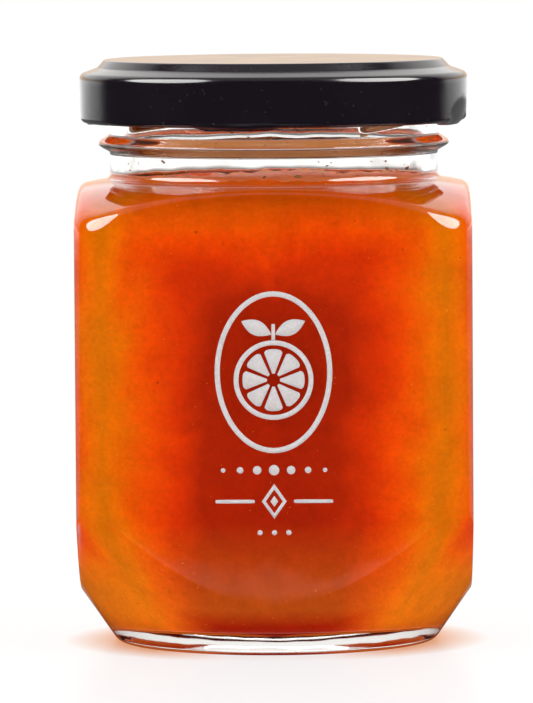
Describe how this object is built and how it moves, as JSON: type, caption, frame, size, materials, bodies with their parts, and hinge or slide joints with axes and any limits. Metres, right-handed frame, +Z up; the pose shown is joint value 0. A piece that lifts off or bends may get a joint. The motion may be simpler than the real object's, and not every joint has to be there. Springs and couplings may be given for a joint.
{
  "type": "compote jar",
  "caption": "Square clear glass preserving jar with a black twist-off lid, filled with orange fruit compote.",
  "frame": {"origin": "middle of the round foot on the standing plane", "axes": "+Z up along the neck, -Y out of the printed front face, +X to the right seen from the front"},
  "size_m": [0.0612, 0.0612, 0.0912],
  "materials": {
    "glass": "clear polished container glass",
    "lid_lacquer": "glossy black lacquered tinplate",
    "compote": "wet translucent fruit pulp"
  },
  "bodies": {
    "root": {"jar": "glass", "lid": "lid_lacquer", "compote": "compote"}
  },
  "joints": []
}
